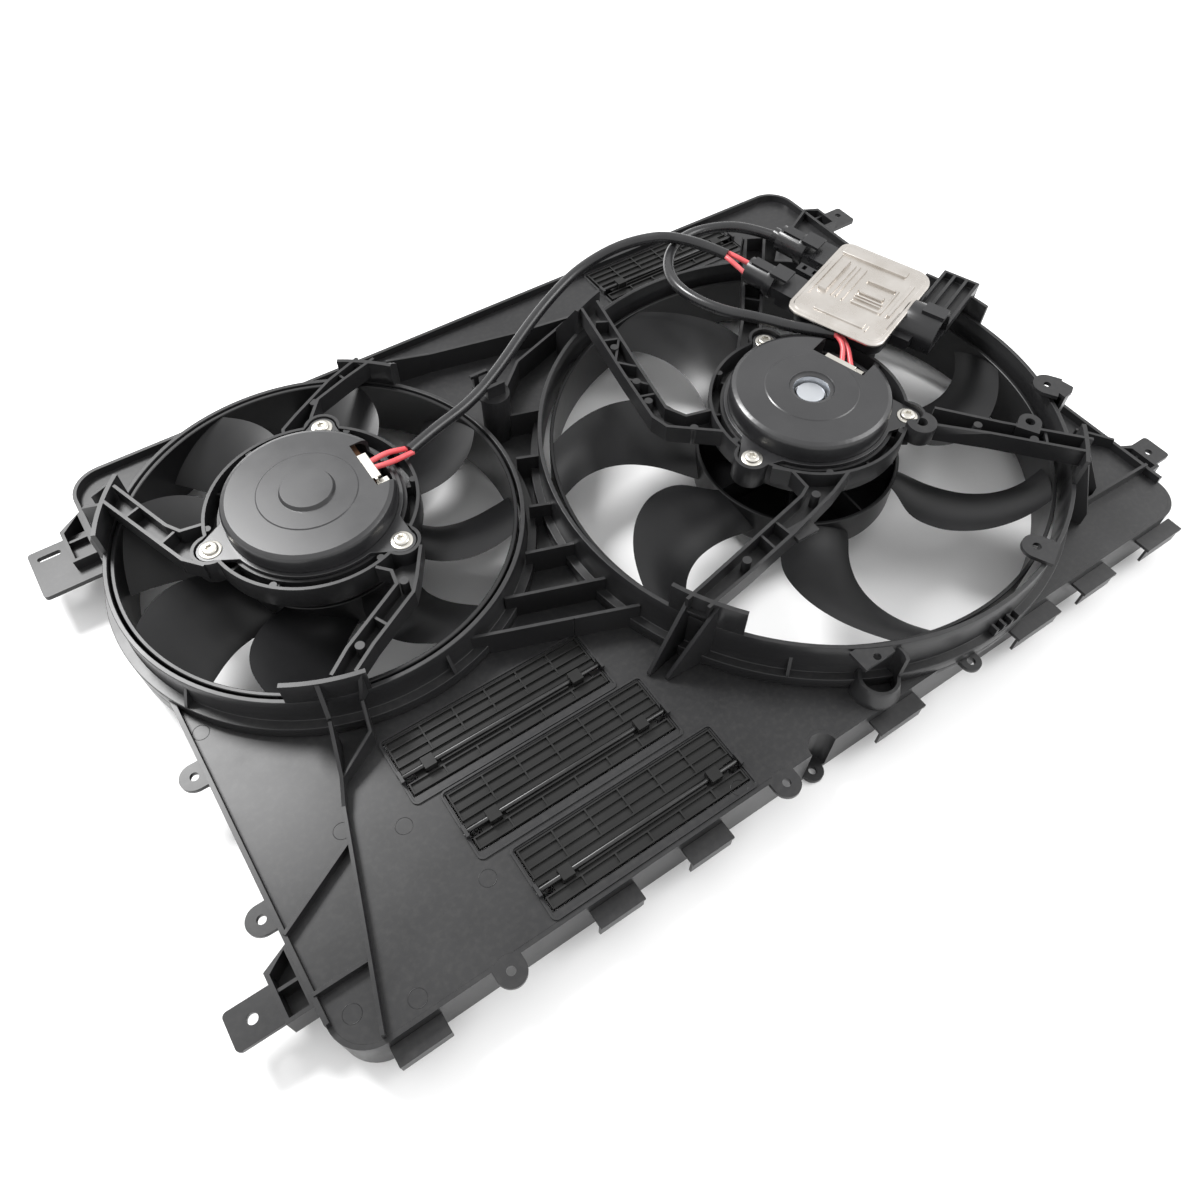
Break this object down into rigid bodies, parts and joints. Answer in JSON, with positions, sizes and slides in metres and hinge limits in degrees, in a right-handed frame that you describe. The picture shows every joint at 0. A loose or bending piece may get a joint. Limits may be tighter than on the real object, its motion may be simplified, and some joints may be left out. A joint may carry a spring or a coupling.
{
  "type": "radiator fan assembly",
  "caption": "Radiator cooling fan assembly: shroud tray with ducted fans, motors on braced carriers, control module with cables, and ram-air flaps.",
  "frame": {"origin": "centre of the bounding box at its lowest level, the edge of the skirt that seats on the radiator", "axes": "+X along the long side towards the large fan, +Y towards the far long side, +Z out of the motor side"},
  "size_m": [0.7714, 0.4852, 0.1229],
  "materials": {
    "shroud_plastic": "satin",
    "flap_plastic": "satin",
    "fan_plastic": "satin",
    "plug_plastic": "satin",
    "motor_paint": "satin black paint",
    "zinc_steel": "zinc plated",
    "bearing_steel": "ground",
    "rod_steel": "blackened",
    "ferrite": "matte",
    "lamination_steel": "matte",
    "copper_wire": "enamelled copper",
    "insulator": "matte",
    "cable_sheath": "satin",
    "wire_red": "semi-gloss",
    "lid_aluminium": "cast, satin",
    "board": "gloss",
    "contact_brass": "tinned"
  },
  "bodies": {
    "shroud": {"shroud_panel": "shroud_plastic", "shroud_skirt": "shroud_plastic", "small_fan_duct": "shroud_plastic", "large_fan_duct": "shroud_plastic", "tray_ribs": "shroud_plastic", "duct_bridge_ribs": "shroud_plastic", "small_motor_carrier": "shroud_plastic", "large_motor_carrier": "shroud_plastic", "cable_tower": "shroud_plastic", "edge_clips": "shroud_plastic", "duct_fixing_lugs": "shroud_plastic", "mounting_foot_near_left": "shroud_plastic", "mounting_foot_far_left": "shroud_plastic", "mounting_foot_near_right": "shroud_plastic", "mounting_foot_far_right": "shroud_plastic", "module_bracket": "shroud_plastic", "air_door_rods": "rod_steel", "small_motor_can": "motor_paint", "small_motor_flange": "motor_paint", "small_motor_end_bell": "motor_paint", "small_motor_screws": "zinc_steel", "small_motor_terminal": "zinc_steel", "small_motor_bearings": "bearing_steel", "small_motor_magnets": "ferrite", "small_motor_brush_card": "insulator", "small_motor_cable": "cable_sheath", "small_motor_leads": "wire_red", "small_motor_plug": "plug_plastic", "large_motor_can": "motor_paint", "large_motor_flange": "motor_paint", "large_motor_end_bell": "motor_paint", "large_motor_screws": "zinc_steel", "large_motor_terminal": "zinc_steel", "large_motor_bearings": "bearing_steel", "large_motor_magnets": "ferrite", "large_motor_brush_card": "insulator", "large_motor_cable": "cable_sheath", "large_motor_leads": "wire_red", "large_motor_plug": "plug_plastic", "large_motor_bearing_cup": "bearing_steel", "module_housing": "plug_plastic", "module_lid": "lid_aluminium", "module_circuit_board": "board", "vehicle_socket_pins": "contact_brass"},
    "small_rotor": {"small_fan": "fan_plastic", "small_motor_shaft": "bearing_steel", "small_armature_stack": "lamination_steel", "small_armature_windings": "copper_wire", "small_commutator": "copper_wire", "small_fan_nut": "zinc_steel"},
    "large_rotor": {"large_fan": "fan_plastic", "large_motor_shaft": "bearing_steel", "large_armature_stack": "lamination_steel", "large_armature_windings": "copper_wire", "large_commutator": "copper_wire", "large_fan_nut": "zinc_steel"},
    "door_1": {"air_door_1": "flap_plastic"},
    "door_2": {"air_door_2": "flap_plastic"},
    "door_3": {"air_door_3": "flap_plastic"},
    "door_4": {"air_door_4": "flap_plastic"}
  },
  "joints": [
    {"name": "small_fan_spin", "type": "hinge", "parent": "shroud", "child": "small_rotor", "pos_m": [-0.20655, 0.0826, 0.038], "axis": [0, 0, 1], "continuous": true},
    {"name": "large_fan_spin", "type": "hinge", "parent": "shroud", "child": "large_rotor", "pos_m": [0.12465, -0.0334, 0.038], "axis": [0, 0, 1], "continuous": true},
    {"name": "door_1_swing", "type": "hinge", "parent": "shroud", "child": "door_1", "pos_m": [-0.17325, -0.1029, 0.0406], "axis": [1, 0, 0], "range_deg": [0, 75]},
    {"name": "door_2_swing", "type": "hinge", "parent": "shroud", "child": "door_2", "pos_m": [-0.15775, -0.1534, 0.0406], "axis": [1, 0, 0], "range_deg": [0, 75]},
    {"name": "door_3_swing", "type": "hinge", "parent": "shroud", "child": "door_3", "pos_m": [-0.14125, -0.2059, 0.0406], "axis": [1, 0, 0], "range_deg": [0, 75]},
    {"name": "door_4_swing", "type": "hinge", "parent": "shroud", "child": "door_4", "pos_m": [0.18575, 0.2096, 0.0406], "axis": [1, 0, 0], "range_deg": [0, 75]}
  ]
}
